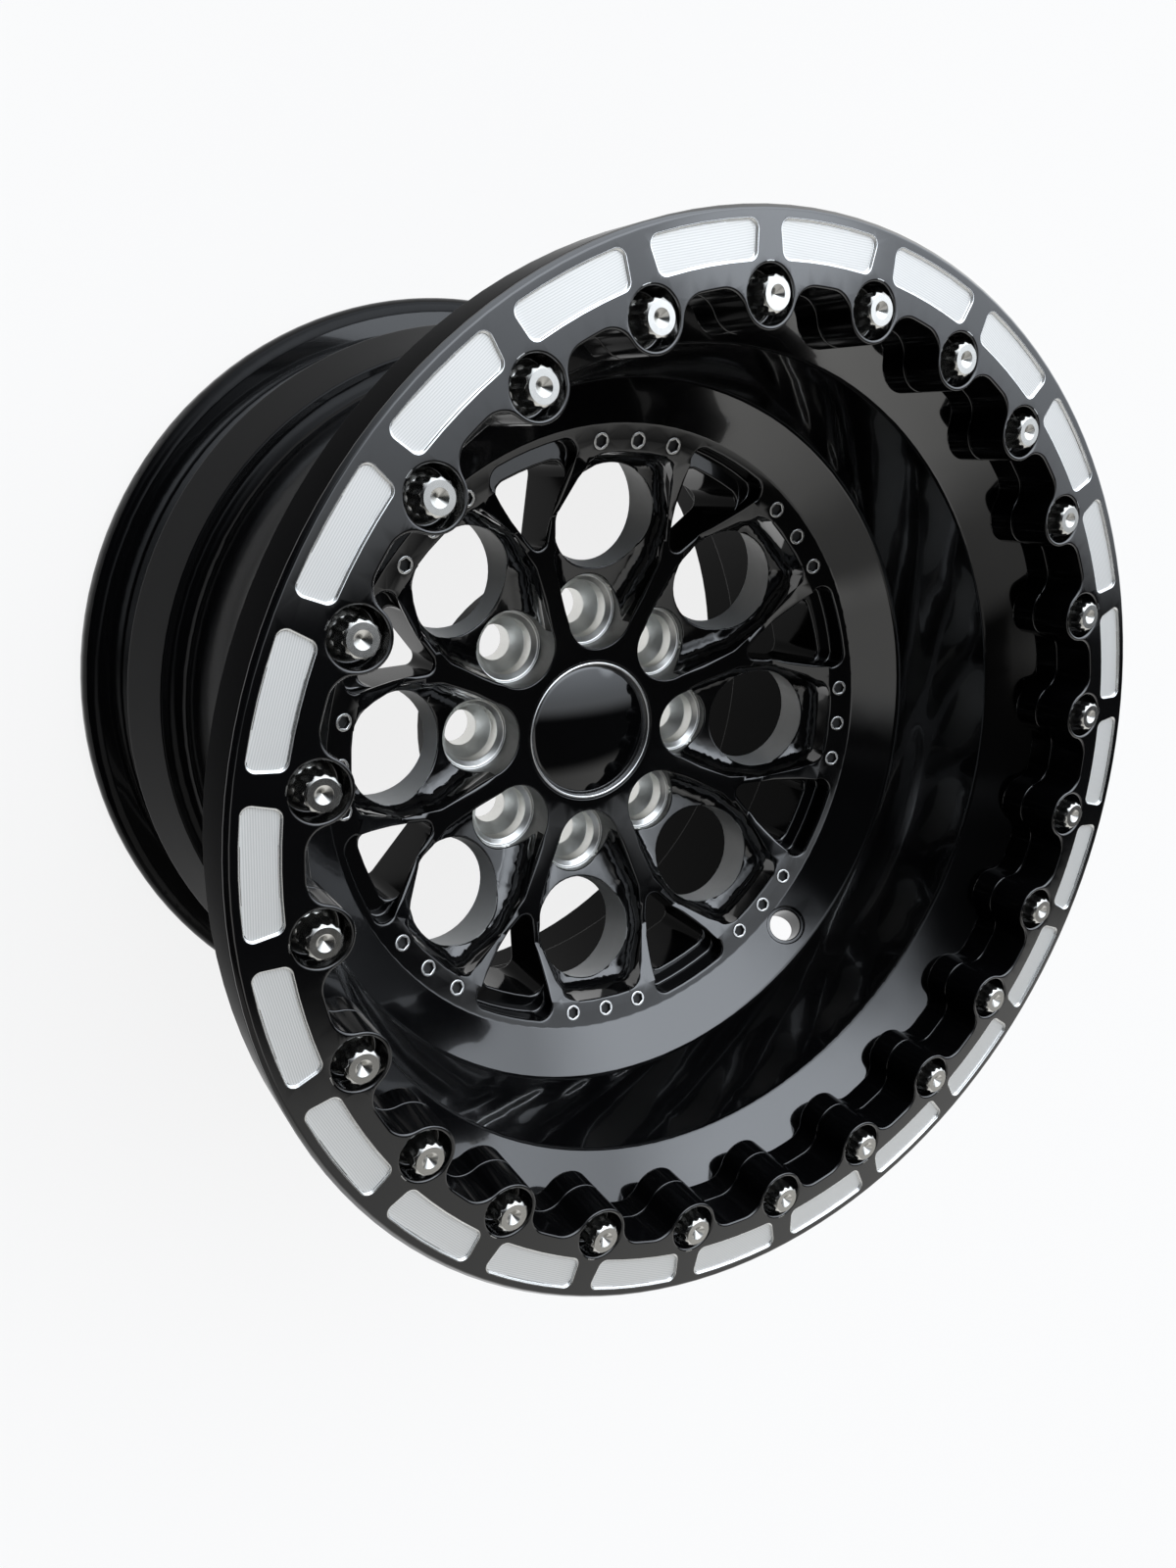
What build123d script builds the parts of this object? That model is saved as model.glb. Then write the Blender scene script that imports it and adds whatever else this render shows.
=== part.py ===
from build123d import *
import math
import os

os.makedirs("parts", exist_ok=True)

# Driving dimensions, mm. The origin is the centre of the hub pad and +Z runs outboard along the axle.

# Rear half of the rim
rear_edge_z = -115.0
bead_seat_radius = 190.1
bead_seat_width = 24.0
rear_flange_height = 17.5
rear_flange_thickness = 13.0
rear_flange_curl = 7.5
rear_edge_chamfer = 2.5
bead_hump_height = 2.4
bead_hump_width = 8.0
well_step_depth = 9.1
well_step_length = 16.0
well_step_fillet = 8.0
drop_centre_depth = 20.1
drop_centre_slope_length = 37.0
drop_centre_fillet = 20.0
barrel_wall = 6.5

# Front half of the rim, with the bead shoulder and the clamp flange
clamp_face_z = 157.6
clamp_flange_thickness = 11.6
bead_shoulder_rise = 0.4
bead_shoulder_width = 19.6
bead_stop_height = 8.5
bead_stop_thickness = 7.0

# Scalloped outline shared by the flange and the ring, set in from the bead shoulder
bolt_count = 24
bolt_edge_distance = 8.43
lobe_radius = 11.2
valley_edge_distance = 5.5
valley_fillet = 9.0

# Dish, from its mouth down to the coned band that holds the rivets
mouth_edge_distance = 4.5
upper_band_width = 16.0
upper_band_height = 17.0
dish_wall_draft = 9.5
dish_wall_height = 48.1
lower_band_width = 18.5
rivet_band_width = 12.2
rivet_band_angle = 15.0
rivet_band_z = 63.8
dish_edge_fillet = 4.0
crease_fillet = 3.0

# Spokes, pockets and fork windows, set in from the rivet band
spoke_count = 8
spoke_width = 9.6
spoke_kink_setback = 23.8
spoke_kink_z = 47.5
fork_length = 20.0
fork_half_angle = 6.0
fork_fillet = 12.0
pocket_half_angle = 9.2
pocket_corner_radius = 10.0
pocket_floor_angle = 18.2
pocket_floor_outer_z = 47.0
pocket_floor_fillet = 10.0
window_rim_width = 3.5
window_ledge_width = 8.5
window_ledge_z = 55.0
window_half_angle = 10.3
window_apex_setback = 3.5
window_apex_fillet = 4.0
window_corner_radius = 6.0
round_hole_radius = 25.4
round_hole_setback = 28.5

# Hub
hub_bore_radius = 32.05
hub_bore_length = 20.0
hub_rim_width = 3.7
hub_top_z = 38.0
pad_radius = 75.0
pad_depth = 20.0
web_rise_width = 27.5
web_join_z = 36.0
lug_centre_radius = 57.15
lug_well_radius = 17.2
lug_seat_z = 24.5
lug_rim_width = 1.2
lug_chamfer_width = 2.5
lug_chamfer_depth = 2.0
lug_bore_depth = 6.5
stud_hole_radius = 8.6
stud_hole_length = 10.0

# Valve hole, square to the lower band of the dish
valve_angle = -45.0
valve_band_inset = 7.5
valve_hole_radius = 7.95
valve_spot_radius = 9.9
valve_spot_depth = 1.2

# Beadlock ring
ring_overhang = 19.5
ring_thickness = 17.9
ring_lip_length = 8.0
ring_lip_width = 5.0
ring_lip_root_width = 10.0
ring_register_depth = 3.4
ring_edge_chamfer = 1.6
ring_lip_chamfer = 1.2
ring_window_border = 4.7
ring_window_height = 12.3
ring_window_inner_half_width = 18.4
ring_window_outer_half_width = 22.2
ring_window_corner = 3.0
ring_window_depth = 1.0

# Beadlock bolts
counterbore_depth = 10.5
bolt_shank_radius = 4.76
bolt_engagement = 9.6
bolt_flange_radius = 8.5
bolt_flange_height = 2.5
bolt_head_radius = 6.3
bolt_head_height = 14.0
bolt_head_points = 12

# Spoke rivets
rivets_per_group = 3
rivet_spacing_angle = 8.0
rivet_edge_wall = 1.3
rivet_radius = 3.8
rivet_length = 6.0
rivet_stand_proud = 0.4
rivet_socket_flats = 5.0
rivet_socket_depth = 2.0
rivet_socket_sides = 6

# Centre cap
cap_pocket_radius = 34.3
cap_pocket_depth = 5.0
cap_stop_radius = 29.0
cap_stop_thickness = 6.0
cap_relief_depth = 4.5
cap_rim_width = 1.6
cap_rim_proud = 0.3
cap_floor_thickness = 2.4
cap_leg_count = 6
cap_leg_angle = 32.0
cap_leg_thickness = 2.4
cap_leg_barb = 1.5
cap_leg_barb_height = 3.0
dome_edge_drop = 0.6
dome_rise = 1.6
spring_thickness = 0.8
spring_height = 3.0

# Clearances
bolt_clearance = 0.12
counterbore_clearance = 1.15
rivet_clearance = 0.1
register_clearance = 0.2
cap_clearance = 0.15
cap_rim_clearance = 0.4
hole_end_clearance = 0.4
cut_overrun = 5.0

# Radii worked out from the bead seat inwards
rear_flange_radius = bead_seat_radius + rear_flange_height
well_step_radius = bead_seat_radius - well_step_depth
drop_centre_radius = bead_seat_radius - drop_centre_depth
barrel_inner_radius = drop_centre_radius - barrel_wall
bead_seat_inner_radius = bead_seat_radius - barrel_wall
bead_shoulder_radius = bead_seat_radius + bead_shoulder_rise
bead_stop_radius = bead_shoulder_radius + bead_stop_height
ring_radius = bead_shoulder_radius + ring_overhang
bolt_centre_radius = bead_shoulder_radius - bolt_edge_distance
valley_radius = bead_shoulder_radius - valley_edge_distance
mouth_radius = bead_shoulder_radius - mouth_edge_distance
upper_band_radius = mouth_radius - upper_band_width
lower_band_radius = upper_band_radius - dish_wall_draft
rivet_band_outer_radius = lower_band_radius - lower_band_width
rivet_band_inner_radius = rivet_band_outer_radius - rivet_band_width
rivet_centre_radius = rivet_band_inner_radius + rivet_edge_wall + rivet_clearance + rivet_radius
round_hole_centre_radius = rivet_band_inner_radius - round_hole_setback
spoke_kink_radius = rivet_band_inner_radius - spoke_kink_setback
fork_radius = spoke_kink_radius - fork_length
web_rise_radius = barrel_inner_radius - web_rise_width
hub_rim_radius = cap_pocket_radius + hub_rim_width
cap_relief_radius = cap_stop_radius + cap_relief_depth

# Heights worked out from the clamp face and the hub's top
clamp_underside_z = clamp_face_z - clamp_flange_thickness
upper_band_low_z = clamp_underside_z - upper_band_height
lower_band_top_z = upper_band_low_z - dish_wall_height
ring_face_z = clamp_face_z + ring_thickness
bolt_seat_z = ring_face_z - counterbore_depth
rivet_slope = math.tan(math.radians(rivet_band_angle))
rivet_band_inner_z = rivet_band_z - (rivet_centre_radius - rivet_band_inner_radius) * rivet_slope
rivet_band_outer_z = rivet_band_z + (rivet_band_outer_radius - rivet_centre_radius) * rivet_slope
cap_floor_z = hub_top_z - cap_pocket_depth
cap_stop_rear_z = cap_floor_z - cap_stop_thickness

bolt_pitch_angle = 360 / bolt_count
spoke_pitch_angle = 360 / spoke_count


def polar(radius, degrees):
    """Point at a radius and an angle in the XY plane."""
    return (radius * math.cos(math.radians(degrees)), radius * math.sin(math.radians(degrees)))


def rounded_outline(corners):
    """Closed line through (x, y, corner radius) points."""
    with BuildLine(mode=Mode.PRIVATE) as outline:
        FilletPolyline(*[(x, y) for x, y, _ in corners], radius=[r for _, _, r in corners], close=True)
    return outline.edges()


def scalloped_opening():
    """Opening of the clamp flange and the ring, with a lobe left round each bolt."""
    with BuildSketch(mode=Mode.PRIVATE) as opening:
        Circle(valley_radius)
        with PolarLocations(bolt_centre_radius, bolt_count, start_angle=bolt_pitch_angle / 2):
            Circle(lobe_radius, mode=Mode.SUBTRACT)
        fillet(opening.vertices(), valley_fillet)
    return opening.sketch


opening_outline = scalloped_opening()

# Section of the wheel, as (radius, z, corner radius), from the hub bore round the front to the rear
hub_section = [
    (hub_bore_radius, 0, 0),
    (hub_bore_radius, hub_bore_length, 0),
    (cap_relief_radius, hub_bore_length, 0),
    (cap_relief_radius, cap_stop_rear_z, 0),
    (cap_stop_radius, cap_stop_rear_z, 0),
    (cap_stop_radius, cap_floor_z, 0),
    (cap_pocket_radius, cap_floor_z, 0),
    (cap_pocket_radius, hub_top_z, 0),
    (hub_rim_radius, hub_top_z, 0),
    (spoke_kink_radius, spoke_kink_z, 0),
    (rivet_band_inner_radius, rivet_band_inner_z, 0),
]
dish_section = [
    (rivet_band_outer_radius, rivet_band_outer_z, crease_fillet),
    (lower_band_radius, lower_band_top_z, dish_edge_fillet),
    (upper_band_radius, upper_band_low_z, dish_edge_fillet),
    (mouth_radius, clamp_underside_z, 0),
]
shoulder_z = clamp_face_z - bead_shoulder_width
bead_stop_rear_z = shoulder_z - bead_stop_thickness
drop_centre_front_z = bead_stop_rear_z - drop_centre_slope_length
front_section = [
    (bead_shoulder_radius, clamp_underside_z, 0),
    (bead_shoulder_radius, shoulder_z, 0),
    (bead_stop_radius, shoulder_z, 0),
    (bead_stop_radius, bead_stop_rear_z, 0),
    (bead_seat_radius, bead_stop_rear_z, 0),
    (drop_centre_radius, drop_centre_front_z, drop_centre_fillet),
]
flange_front_z = rear_edge_z + rear_flange_thickness
hump_rear_z = flange_front_z + bead_seat_width
hump_front_z = hump_rear_z + bead_hump_width
step_z = hump_front_z + well_step_length
rear_section = [
    (drop_centre_radius, step_z, well_step_fillet),
    (well_step_radius, step_z, 0),
    (bead_seat_radius, hump_front_z, 0),
    (bead_seat_radius + bead_hump_height, hump_rear_z + bead_hump_width / 2, 0),
    (bead_seat_radius, hump_rear_z, 0),
    (bead_seat_radius, flange_front_z, 0),
    (rear_flange_radius, flange_front_z, rear_flange_curl),
    (rear_flange_radius, rear_edge_z + rear_edge_chamfer, 0),
    (rear_flange_radius - rear_edge_chamfer, rear_edge_z, 0),
]
inner_section = [
    (bead_seat_inner_radius, rear_edge_z, 0),
    (bead_seat_inner_radius, hump_front_z - barrel_wall, 0),
    (barrel_inner_radius, step_z - barrel_wall, 0),
    (barrel_inner_radius, web_join_z, 0),
    (web_rise_radius, pad_depth, 0),
    (pad_radius, pad_depth, 0),
    (pad_radius, 0, 0),
]
wheel_section = hub_section + dish_section + front_section + rear_section + inner_section

# Pocket between two spokes, drawn about +X, down to a coned floor that climbs towards the rivet band
half_pitch = spoke_pitch_angle / 2
stem_half_angle = math.degrees(math.asin(spoke_width / 2 / fork_radius))
pocket_apex_radius = spoke_width / 2 / math.sin(math.radians(half_pitch))
pocket_end_radius = (lug_centre_radius - pocket_apex_radius) * math.sin(math.radians(half_pitch))


def pocket_side(side):
    """Corners of one side of the pocket, from the fork outwards past the rivet band's inner edge."""
    fork = polar(fork_radius, side * (half_pitch - stem_half_angle))
    kink = polar(spoke_kink_radius, side * (half_pitch - fork_half_angle))
    edge = polar(rivet_band_inner_radius, side * pocket_half_angle)
    reach = (rivet_band_outer_radius - spoke_kink_radius) / spoke_kink_setback
    past_edge = [a + reach * (b - a) for a, b in zip(kink, edge)]
    return [(*fork, fork_fillet), (*kink, fork_fillet), (*past_edge, 0)]


floor_slope = math.tan(math.radians(pocket_floor_angle))
floor_axis_z = pocket_floor_outer_z - rivet_band_inner_radius * floor_slope
pocket_corners = [
    (pocket_apex_radius, 0, pocket_end_radius),
    *pocket_side(1),
    *reversed(pocket_side(-1)),
]

with BuildPart() as pocket_cutter:
    with BuildSketch() as pocket_sketch:
        make_face(rounded_outline(pocket_corners))
        Circle(rivet_band_inner_radius, mode=Mode.INTERSECT)
        fillet(pocket_sketch.vertices().sort_by_distance((0, 0))[-2:], pocket_corner_radius)
    extrude(amount=clamp_underside_z)
    with BuildSketch(Plane.XZ):
        with BuildLine():
            Polyline(
                (0, floor_axis_z),
                (rivet_band_inner_radius, pocket_floor_outer_z),
                (ring_radius, pocket_floor_outer_z),
                (ring_radius, clamp_underside_z),
                (0, clamp_underside_z),
                close=True,
            )
        make_face()
    revolve(axis=Axis.Z, mode=Mode.INTERSECT)
    fillet(pocket_cutter.faces().filter_by(GeomType.CONE).edges(), pocket_floor_fillet)

# Round hole, drawn about +X, square to the pocket's floor
hole_floor_z = floor_axis_z + round_hole_centre_radius * floor_slope
hole_plane = Plane(origin=(round_hole_centre_radius, 0, hole_floor_z), z_dir=(-floor_slope, 0, 1))
with BuildPart() as hole_cutter:
    with BuildSketch(hole_plane):
        Circle(round_hole_radius)
    extrude(amount=rivet_band_z, both=True)

# Fork window, drawn about +X, with a ledge left inside its outer end
window_outer_radius = rivet_band_outer_radius - window_rim_width
window_ledge_radius = window_outer_radius - window_ledge_width
window_apex_radius = fork_radius + window_apex_setback
window_reach = window_outer_radius + cut_overrun
window_half_width = window_outer_radius * math.sin(math.radians(window_half_angle))
window_depth = window_outer_radius * math.cos(math.radians(window_half_angle)) - window_apex_radius
window_end_half_width = window_half_width * (window_reach - window_apex_radius) / window_depth


def window_outline(outer_radius):
    """Fork window out to an arc about the axle."""
    corners = [
        (window_apex_radius, 0, window_apex_fillet),
        (window_reach, window_end_half_width, 0),
        (window_reach, -window_end_half_width, 0),
    ]
    with BuildSketch(mode=Mode.PRIVATE) as outline:
        make_face(rounded_outline(corners))
        Circle(outer_radius, mode=Mode.INTERSECT)
        fillet(outline.vertices().sort_by_distance((0, 0))[-2:], window_corner_radius)
    return outline.sketch


window_through = window_outline(window_ledge_radius)
window_mouth = window_outline(window_outer_radius)

with BuildPart() as window_cutter:
    with BuildSketch():
        add(window_through)
    extrude(amount=clamp_underside_z)
    with BuildSketch(Plane.XY.offset(window_ledge_z)):
        add(window_mouth)
    extrude(amount=clamp_underside_z - window_ledge_z)

# Lug well: counterbore, chamfered seat, bore, cone and stud hole
lug_rim_radius = lug_well_radius - lug_rim_width
lug_bore_radius = lug_rim_radius - lug_chamfer_width
lug_chamfer_z = lug_seat_z - lug_chamfer_depth
lug_cone_z = lug_chamfer_z - lug_bore_depth
with BuildPart() as lug_cutter:
    with BuildSketch(Plane.XZ):
        with BuildLine():
            Polyline(
                (0, -cut_overrun),
                (stud_hole_radius, -cut_overrun),
                (stud_hole_radius, stud_hole_length),
                (lug_bore_radius, lug_cone_z),
                (lug_bore_radius, lug_chamfer_z),
                (lug_rim_radius, lug_seat_z),
                (lug_well_radius, lug_seat_z),
                (lug_well_radius, rivet_band_z),
                (0, rivet_band_z),
                close=True,
            )
        make_face()
    revolve(axis=Axis.Z)

# Valve hole's axis, square to the lower band at its middle
valve_radius = rivet_band_outer_radius + valve_band_inset
band_run = lower_band_radius - rivet_band_outer_radius
band_rise = lower_band_top_z - rivet_band_outer_z
valve_z = rivet_band_outer_z + band_rise * (valve_radius - rivet_band_outer_radius) / band_run
band_length = math.hypot(band_run, band_rise)
valve_normal = (*polar(-band_rise / band_length, valve_angle), band_run / band_length)
valve_plane = Plane(origin=(*polar(valve_radius, valve_angle), valve_z), z_dir=valve_normal)
valve_hole_depth = (drop_centre_radius - valve_radius) * band_length / band_rise + 2 * valve_hole_radius

# Rivet seats, square to the rivet band, a fan of them over each pocket
rivet_sink = rivet_length - rivet_stand_proud
rivet_fan_angle = rivet_spacing_angle * (rivets_per_group - 1)
rivet_plane = Plane(origin=(rivet_centre_radius, 0, rivet_band_z), z_dir=(-rivet_slope, 0, 1))

# Wheel
with BuildPart() as wheel:
    with BuildSketch(Plane.XZ):
        make_face(rounded_outline(wheel_section))
    revolve(axis=Axis.Z)
    with BuildSketch(Plane.XY.offset(clamp_underside_z)):
        Circle(bead_shoulder_radius)
        add(opening_outline, mode=Mode.SUBTRACT)
    extrude(amount=clamp_flange_thickness)
    with PolarLocations(0, spoke_count):
        add(pocket_cutter.part, mode=Mode.SUBTRACT)
    with PolarLocations(0, spoke_count, start_angle=half_pitch):
        add(window_cutter.part, mode=Mode.SUBTRACT)
    with PolarLocations(0, spoke_count):
        add(hole_cutter.part, mode=Mode.SUBTRACT)
    with PolarLocations(lug_centre_radius, spoke_count):
        add(lug_cutter.part, mode=Mode.SUBTRACT)
    with Locations((0, 0, clamp_face_z)):
        with PolarLocations(bolt_centre_radius, bolt_count, start_angle=bolt_pitch_angle / 2):
            Hole(bolt_shank_radius + bolt_clearance, depth=bolt_engagement + hole_end_clearance)
    with PolarLocations(0, spoke_count):
        with PolarLocations(
            0,
            rivets_per_group,
            start_angle=-rivet_fan_angle / 2,
            angular_range=rivet_fan_angle,
            endpoint=True,
        ):
            with Locations(rivet_plane):
                Hole(rivet_radius + rivet_clearance, depth=rivet_sink)
    with Locations(valve_plane):
        CounterBoreHole(valve_hole_radius, valve_spot_radius, valve_spot_depth, depth=valve_hole_depth)
wheel.part.label = "wheel"
export_step(wheel.part, "parts/wheel.step")

# Beadlock ring
register_radius = bead_shoulder_radius + register_clearance
ring_back_z = clamp_face_z - ring_register_depth
ring_lip_z = clamp_face_z - ring_lip_length
ring_bore_radius = bolt_centre_radius - lobe_radius - cut_overrun
counterbore_radius = bolt_flange_radius + counterbore_clearance
ring_section = [
    (ring_bore_radius, clamp_face_z, 0),
    (ring_bore_radius, ring_face_z, 0),
    (ring_radius - ring_edge_chamfer, ring_face_z, 0),
    (ring_radius, ring_face_z - ring_edge_chamfer, 0),
    (ring_radius, ring_lip_z + ring_lip_chamfer, 0),
    (ring_radius - ring_lip_chamfer, ring_lip_z, 0),
    (ring_radius - ring_lip_width, ring_lip_z, 0),
    (ring_radius - ring_lip_root_width, ring_back_z, 0),
    (register_radius, ring_back_z, 0),
    (register_radius, clamp_face_z, 0),
]

ring_window_outer_radius = ring_radius - ring_window_border
ring_window_inner_radius = ring_window_outer_radius - ring_window_height
with BuildSketch() as ring_window:
    Circle(ring_window_outer_radius)
    Circle(ring_window_inner_radius, mode=Mode.SUBTRACT)
    with BuildLine():
        Polyline(
            (ring_window_inner_radius - cut_overrun, -ring_window_inner_half_width),
            (ring_window_outer_radius, -ring_window_outer_half_width),
            (ring_window_outer_radius + cut_overrun, -ring_window_outer_half_width),
            (ring_window_outer_radius + cut_overrun, ring_window_outer_half_width),
            (ring_window_outer_radius, ring_window_outer_half_width),
            (ring_window_inner_radius - cut_overrun, ring_window_inner_half_width),
            close=True,
        )
    make_face(mode=Mode.INTERSECT)
    fillet(ring_window.vertices(), ring_window_corner)

with BuildPart() as beadlock_ring:
    with BuildSketch(Plane.XZ):
        make_face(rounded_outline(ring_section))
    revolve(axis=Axis.Z)
    with BuildSketch(Plane.XY.offset(clamp_face_z)):
        add(opening_outline)
    extrude(amount=ring_thickness, mode=Mode.SUBTRACT)
    with Locations((0, 0, ring_face_z)):
        with PolarLocations(bolt_centre_radius, bolt_count, start_angle=bolt_pitch_angle / 2):
            CounterBoreHole(
                bolt_shank_radius + bolt_clearance,
                counterbore_radius,
                counterbore_depth,
                depth=ring_thickness,
            )
    with BuildSketch(Plane.XY.offset(ring_face_z)):
        with PolarLocations(0, bolt_count):
            add(ring_window.sketch)
    extrude(amount=-ring_window_depth, mode=Mode.SUBTRACT)
beadlock_ring.part.label = "beadlock_ring"
export_step(beadlock_ring.part, "parts/beadlock_ring.step")

# Beadlock bolts: one screw, then one in each counterbore
bolt_neck_z = bolt_seat_z + bolt_flange_height
with BuildPart() as bolt:
    with BuildSketch(Plane.XZ):
        with BuildLine():
            Polyline(
                (0, clamp_face_z - bolt_engagement),
                (bolt_shank_radius, clamp_face_z - bolt_engagement),
                (bolt_shank_radius, bolt_seat_z),
                (bolt_flange_radius, bolt_seat_z),
                (bolt_flange_radius, bolt_neck_z),
                (0, bolt_neck_z),
                close=True,
            )
        make_face()
    revolve(axis=Axis.Z)
    with BuildSketch(Plane.XY.offset(bolt_neck_z)):
        RegularPolygon(bolt_head_radius, bolt_head_points // 2)
        RegularPolygon(bolt_head_radius, bolt_head_points // 2, rotation=360 / bolt_head_points)
    extrude(amount=bolt_head_height - bolt_flange_height)

with BuildPart() as beadlock_bolts:
    with PolarLocations(bolt_centre_radius, bolt_count, start_angle=bolt_pitch_angle / 2):
        add(bolt.part)
beadlock_bolts.part.label = "beadlock_bolts"
export_step(beadlock_bolts.part, "parts/beadlock_bolts.step")

# Spoke rivets: one socketed stud about its own seat, then a fan of them over each pocket
with BuildPart() as rivet:
    with BuildSketch(Plane.XY.offset(-rivet_sink)):
        Circle(rivet_radius)
    extrude(amount=rivet_length)
    with BuildSketch(Plane.XY.offset(rivet_stand_proud)):
        RegularPolygon(rivet_socket_flats / 2, rivet_socket_sides, major_radius=False)
    extrude(amount=-rivet_socket_depth, mode=Mode.SUBTRACT)

with BuildPart() as spoke_rivets:
    with PolarLocations(0, spoke_count):
        with PolarLocations(
            0,
            rivets_per_group,
            start_angle=-rivet_fan_angle / 2,
            angular_range=rivet_fan_angle,
            endpoint=True,
        ):
            with Locations(rivet_plane):
                add(rivet.part)
spoke_rivets.part.label = "spoke_rivets"
export_step(spoke_rivets.part, "parts/spoke_rivets.step")

# Centre cap: rim, disc and barbed legs that hook behind the hub's stop
cap_radius = cap_pocket_radius - cap_rim_clearance
cap_recess_radius = cap_radius - cap_rim_width
cap_recess_z = cap_floor_z + cap_floor_thickness
cap_rim_z = hub_top_z + cap_rim_proud
leg_outer_radius = cap_stop_radius - cap_clearance
leg_inner_radius = leg_outer_radius - cap_leg_thickness
barb_top_z = cap_stop_rear_z - cap_clearance
barb_end_z = barb_top_z - cap_leg_barb_height
with BuildPart() as cap_leg:
    with BuildSketch(Plane.XZ):
        with BuildLine():
            Polyline(
                (leg_inner_radius, barb_end_z),
                (leg_outer_radius, barb_end_z),
                (leg_outer_radius + cap_leg_barb, barb_top_z),
                (leg_outer_radius, barb_top_z),
                (leg_outer_radius, cap_recess_z),
                (leg_inner_radius, cap_recess_z),
                close=True,
            )
        make_face()
    revolve(axis=Axis.Z, revolution_arc=cap_leg_angle)

with BuildPart() as centre_cap:
    with BuildSketch(Plane.XZ):
        with BuildLine():
            Polyline(
                (0, cap_floor_z),
                (cap_radius, cap_floor_z),
                (cap_radius, cap_rim_z),
                (cap_recess_radius, cap_rim_z),
                (cap_recess_radius, cap_recess_z),
                (0, cap_recess_z),
                close=True,
            )
        make_face()
    revolve(axis=Axis.Z)
    with PolarLocations(0, cap_leg_count):
        add(cap_leg.part)
centre_cap.part.label = "centre_cap"
export_step(centre_cap.part, "parts/centre_cap.step")

# Cap dome, bonded in the cap's recess
dome_radius = cap_recess_radius - cap_clearance
dome_edge_z = cap_rim_z - dome_edge_drop
dome_top_z = dome_edge_z + dome_rise
with BuildPart() as cap_dome:
    with BuildSketch(Plane.XZ):
        with BuildLine():
            Polyline(
                (0, dome_top_z),
                (0, cap_recess_z),
                (dome_radius, cap_recess_z),
                (dome_radius, dome_edge_z),
            )
            TangentArc((0, dome_top_z), (dome_radius, dome_edge_z), tangent=(1, 0))
        make_face()
    revolve(axis=Axis.Z)
cap_dome.part.label = "cap_dome"
export_step(cap_dome.part, "parts/cap_dome.step")

# Cap spring, inside the legs
spring_radius = leg_inner_radius - cap_clearance - spring_thickness / 2
with BuildPart() as cap_spring:
    with BuildSketch(Plane.XZ):
        with Locations((spring_radius, barb_top_z)):
            Rectangle(spring_thickness, spring_height)
    revolve(axis=Axis.Z)
cap_spring.part.label = "cap_spring"
export_step(cap_spring.part, "parts/cap_spring.step")
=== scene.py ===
import math

import bmesh
import bpy
import numpy as np
from mathutils import Matrix, Vector
from mathutils.kdtree import KDTree


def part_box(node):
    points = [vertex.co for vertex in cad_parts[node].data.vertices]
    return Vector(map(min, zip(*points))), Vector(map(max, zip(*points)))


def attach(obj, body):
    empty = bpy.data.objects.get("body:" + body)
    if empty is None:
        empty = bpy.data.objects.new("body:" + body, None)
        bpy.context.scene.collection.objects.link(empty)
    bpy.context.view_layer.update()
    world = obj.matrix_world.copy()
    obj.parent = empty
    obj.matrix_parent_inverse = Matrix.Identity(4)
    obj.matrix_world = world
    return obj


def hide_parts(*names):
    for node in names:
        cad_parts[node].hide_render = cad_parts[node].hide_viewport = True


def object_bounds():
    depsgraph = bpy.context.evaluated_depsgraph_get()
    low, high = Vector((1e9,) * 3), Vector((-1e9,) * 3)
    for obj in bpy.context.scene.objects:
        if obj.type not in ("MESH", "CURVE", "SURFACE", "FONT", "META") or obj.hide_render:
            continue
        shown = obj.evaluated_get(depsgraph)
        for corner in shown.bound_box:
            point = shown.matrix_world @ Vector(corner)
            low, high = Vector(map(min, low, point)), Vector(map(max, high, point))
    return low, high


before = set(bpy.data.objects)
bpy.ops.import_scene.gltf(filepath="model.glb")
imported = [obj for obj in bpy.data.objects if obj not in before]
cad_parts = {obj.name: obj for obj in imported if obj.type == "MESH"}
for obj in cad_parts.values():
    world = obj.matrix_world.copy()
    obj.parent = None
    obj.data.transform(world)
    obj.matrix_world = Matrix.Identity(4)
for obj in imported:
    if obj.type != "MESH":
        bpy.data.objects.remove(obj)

cad_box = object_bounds()
mm = 0.001

# Camera of the photograph: where it stands, and which way the picture's right and down run
camera_place = Vector((-287.14, 119.49, 499.2)) * mm
picture_right = Vector((0.85536, 0.04821, 0.51577))
picture_down = Vector((-0.09433, -0.96452, 0.24661))
camera_lens = 26.37
camera_sensor = 36.0
camera_near = 0.01
camera_far = 100.0

# Pattern of the wheel
bolt_count = 24
bolt_centre_radius = 182.07 * mm
spoke_count = 8
lug_centre_radius = 57.15 * mm
lug_well_radius = 17.2 * mm
lug_seat_z = 24.5 * mm
round_hole_centre_radius = 101.3 * mm
round_hole_centre_z = 37.6 * mm
round_hole_radius = 25.4 * mm
round_hole_tilt = math.radians(18.2)
rivet_centre_radius = 135.0 * mm
rivet_band_z = 63.8 * mm
rivet_tilt = math.radians(15)
rivet_spacing = math.radians(8)
rivet_proud = 0.4 * mm
band_inner_radius = 129.8 * mm
window_inner_radius = 193.0 * mm
window_outer_radius = 205.3 * mm
window_depth = 1.0 * mm

# Heights read from the frame
floor_z = cad_box[0].z
ring_face_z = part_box("beadlock_ring")[1].z
clamp_face_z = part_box("wheel")[1].z
bolt_low_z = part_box("beadlock_bolts")[0].z
bolt_top_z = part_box("beadlock_bolts")[1].z
dome_low, dome_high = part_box("cap_dome")

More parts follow.
